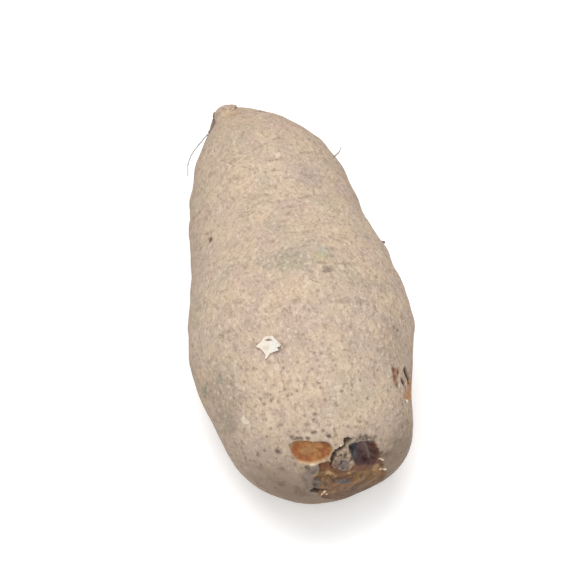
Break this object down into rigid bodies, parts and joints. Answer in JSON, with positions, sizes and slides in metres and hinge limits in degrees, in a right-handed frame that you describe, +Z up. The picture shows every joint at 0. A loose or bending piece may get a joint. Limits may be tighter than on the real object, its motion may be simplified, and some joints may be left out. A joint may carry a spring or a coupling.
{
  "type": "yam tuber",
  "caption": "Whole yam tuber on its side: long and blunt, with a corky crown, thin rootlets, faint growth rings, a knife slice and a broken wound at the tail.",
  "frame": {"origin": "on the ground under the middle of the tuber's box", "axes": "+Z up, +Y along the tuber from the blunt tail to the crown with the stem scar, +X to the right when seen from the tail"},
  "size_m": [0.126, 0.265, 0.1087],
  "materials": {
    "yam_skin": "dry matt corky skin",
    "scrap_white": "matt, torn paper"
  },
  "bodies": {
    "root": {"tuber": "yam_skin", "white_scrap": "scrap_white"}
  },
  "joints": []
}
